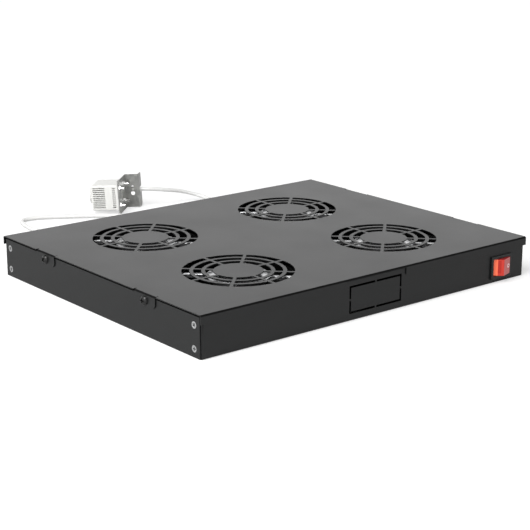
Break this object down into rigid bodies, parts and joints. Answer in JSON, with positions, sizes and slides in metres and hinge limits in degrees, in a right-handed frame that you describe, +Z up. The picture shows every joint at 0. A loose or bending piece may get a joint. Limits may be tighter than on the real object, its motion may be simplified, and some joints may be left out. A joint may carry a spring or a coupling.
{
  "type": "rack fan tray",
  "caption": "Flat sheet-metal rack tray with axial fans under ring grilles, a rocker switch in front and a corded vented thermostat on a bent bracket.",
  "frame": {"origin": "centre of the tray's underside, on the floor", "axes": "+X to the right along the front panel, +Y to the rear, +Z up"},
  "size_m": [0.4486, 0.5637, 0.0447],
  "materials": {
    "black_powder": "semi-gloss powder coat",
    "zinc": "zinc plated",
    "black_steel": "black zinc",
    "bright_steel": "bright nickel",
    "spring_steel": "ground",
    "galvanised": "galvanised sheet",
    "fan_alloy": "die cast",
    "stator_steel": "laminated core with windings",
    "silver_label": "foil",
    "fan_black": "moulded",
    "bronze": "sintered",
    "brass": "plated",
    "black_plastic": "moulded",
    "black_nylon": "moulded",
    "white_nylon": "moulded",
    "rocker_red": "translucent, lit from inside",
    "lead_pvc": "insulation",
    "cord_white": "insulation",
    "white_plastic": "moulded",
    "dial_white": "moulded"
  },
  "bodies": {
    "case": {"lid": "black_powder", "base_pan": "black_powder", "side_panel_left": "black_powder", "side_panel_right": "black_powder", "side_screws": "zinc", "lid_screws": "black_steel", "fan_screws": "zinc", "switch_housing": "black_plastic", "switch_terminals": "brass", "inlet_body": "black_plastic", "inlet_pins": "brass", "inlet_screws": "zinc", "inlet_nuts": "zinc", "cord_bushing": "black_nylon", "bushing_nut": "black_nylon", "terminal_block": "white_nylon", "terminal_screws": "zinc", "earth_stud": "zinc", "earth_nut": "zinc", "fan_leads": "lead_pvc", "mains_lead": "lead_pvc", "feed_lead": "lead_pvc", "thermostat_lead": "cord_white", "thermostat_cover": "white_plastic", "thermostat_base": "white_plastic", "thermostat_bimetal": "spring_steel", "thermostat_boot": "white_plastic", "bracket": "galvanised", "bracket_studs": "bright_steel", "bracket_nuts": "bright_steel", "thermostat_cord": "cord_white", "fan_front_left_frame": "fan_alloy", "fan_front_left_bearing": "bronze", "fan_front_left_stator": "stator_steel", "fan_front_left_label": "silver_label", "fan_front_right_frame": "fan_alloy", "fan_front_right_bearing": "bronze", "fan_front_right_stator": "stator_steel", "fan_front_right_label": "silver_label", "fan_rear_left_frame": "fan_alloy", "fan_rear_left_bearing": "bronze", "fan_rear_left_stator": "stator_steel", "fan_rear_left_label": "silver_label", "fan_rear_right_frame": "fan_alloy", "fan_rear_right_bearing": "bronze", "fan_rear_right_stator": "stator_steel", "fan_rear_right_label": "silver_label"},
    "impeller_front_left": {"fan_front_left_rotor": "fan_black", "fan_front_left_shaft": "spring_steel"},
    "impeller_front_right": {"fan_front_right_rotor": "fan_black", "fan_front_right_shaft": "spring_steel"},
    "impeller_rear_left": {"fan_rear_left_rotor": "fan_black", "fan_rear_left_shaft": "spring_steel"},
    "impeller_rear_right": {"fan_rear_right_rotor": "fan_black", "fan_rear_right_shaft": "spring_steel"},
    "rocker": {"switch_rocker": "rocker_red"},
    "dial": {"dial": "dial_white", "dial_spindle": "spring_steel"}
  },
  "joints": [
    {"name": "fan_front_left_spin", "type": "hinge", "parent": "case", "child": "impeller_front_left", "pos_m": [-0.1033, -0.0858, 0.0202], "axis": [0, 0, 1], "continuous": true},
    {"name": "fan_front_right_spin", "type": "hinge", "parent": "case", "child": "impeller_front_right", "pos_m": [0.0975, -0.0858, 0.0202], "axis": [0, 0, 1], "continuous": true},
    {"name": "fan_rear_left_spin", "type": "hinge", "parent": "case", "child": "impeller_rear_left", "pos_m": [-0.1033, 0.0788, 0.0202], "axis": [0, 0, 1], "continuous": true},
    {"name": "fan_rear_right_spin", "type": "hinge", "parent": "case", "child": "impeller_rear_right", "pos_m": [0.0975, 0.0788, 0.0202], "axis": [0, 0, 1], "continuous": true},
    {"name": "rocker_hinge", "type": "hinge", "parent": "case", "child": "rocker", "pos_m": [0.1823, -0.1806, 0.0173], "axis": [0, 0, 1], "range_deg": [0, 25]},
    {"name": "dial_turn", "type": "hinge", "parent": "case", "child": "dial", "pos_m": [0.01342, 0.36385, 0.02024], "axis": [0.6873, -0.7243, 0.0541], "range_deg": [-135, 135]}
  ]
}
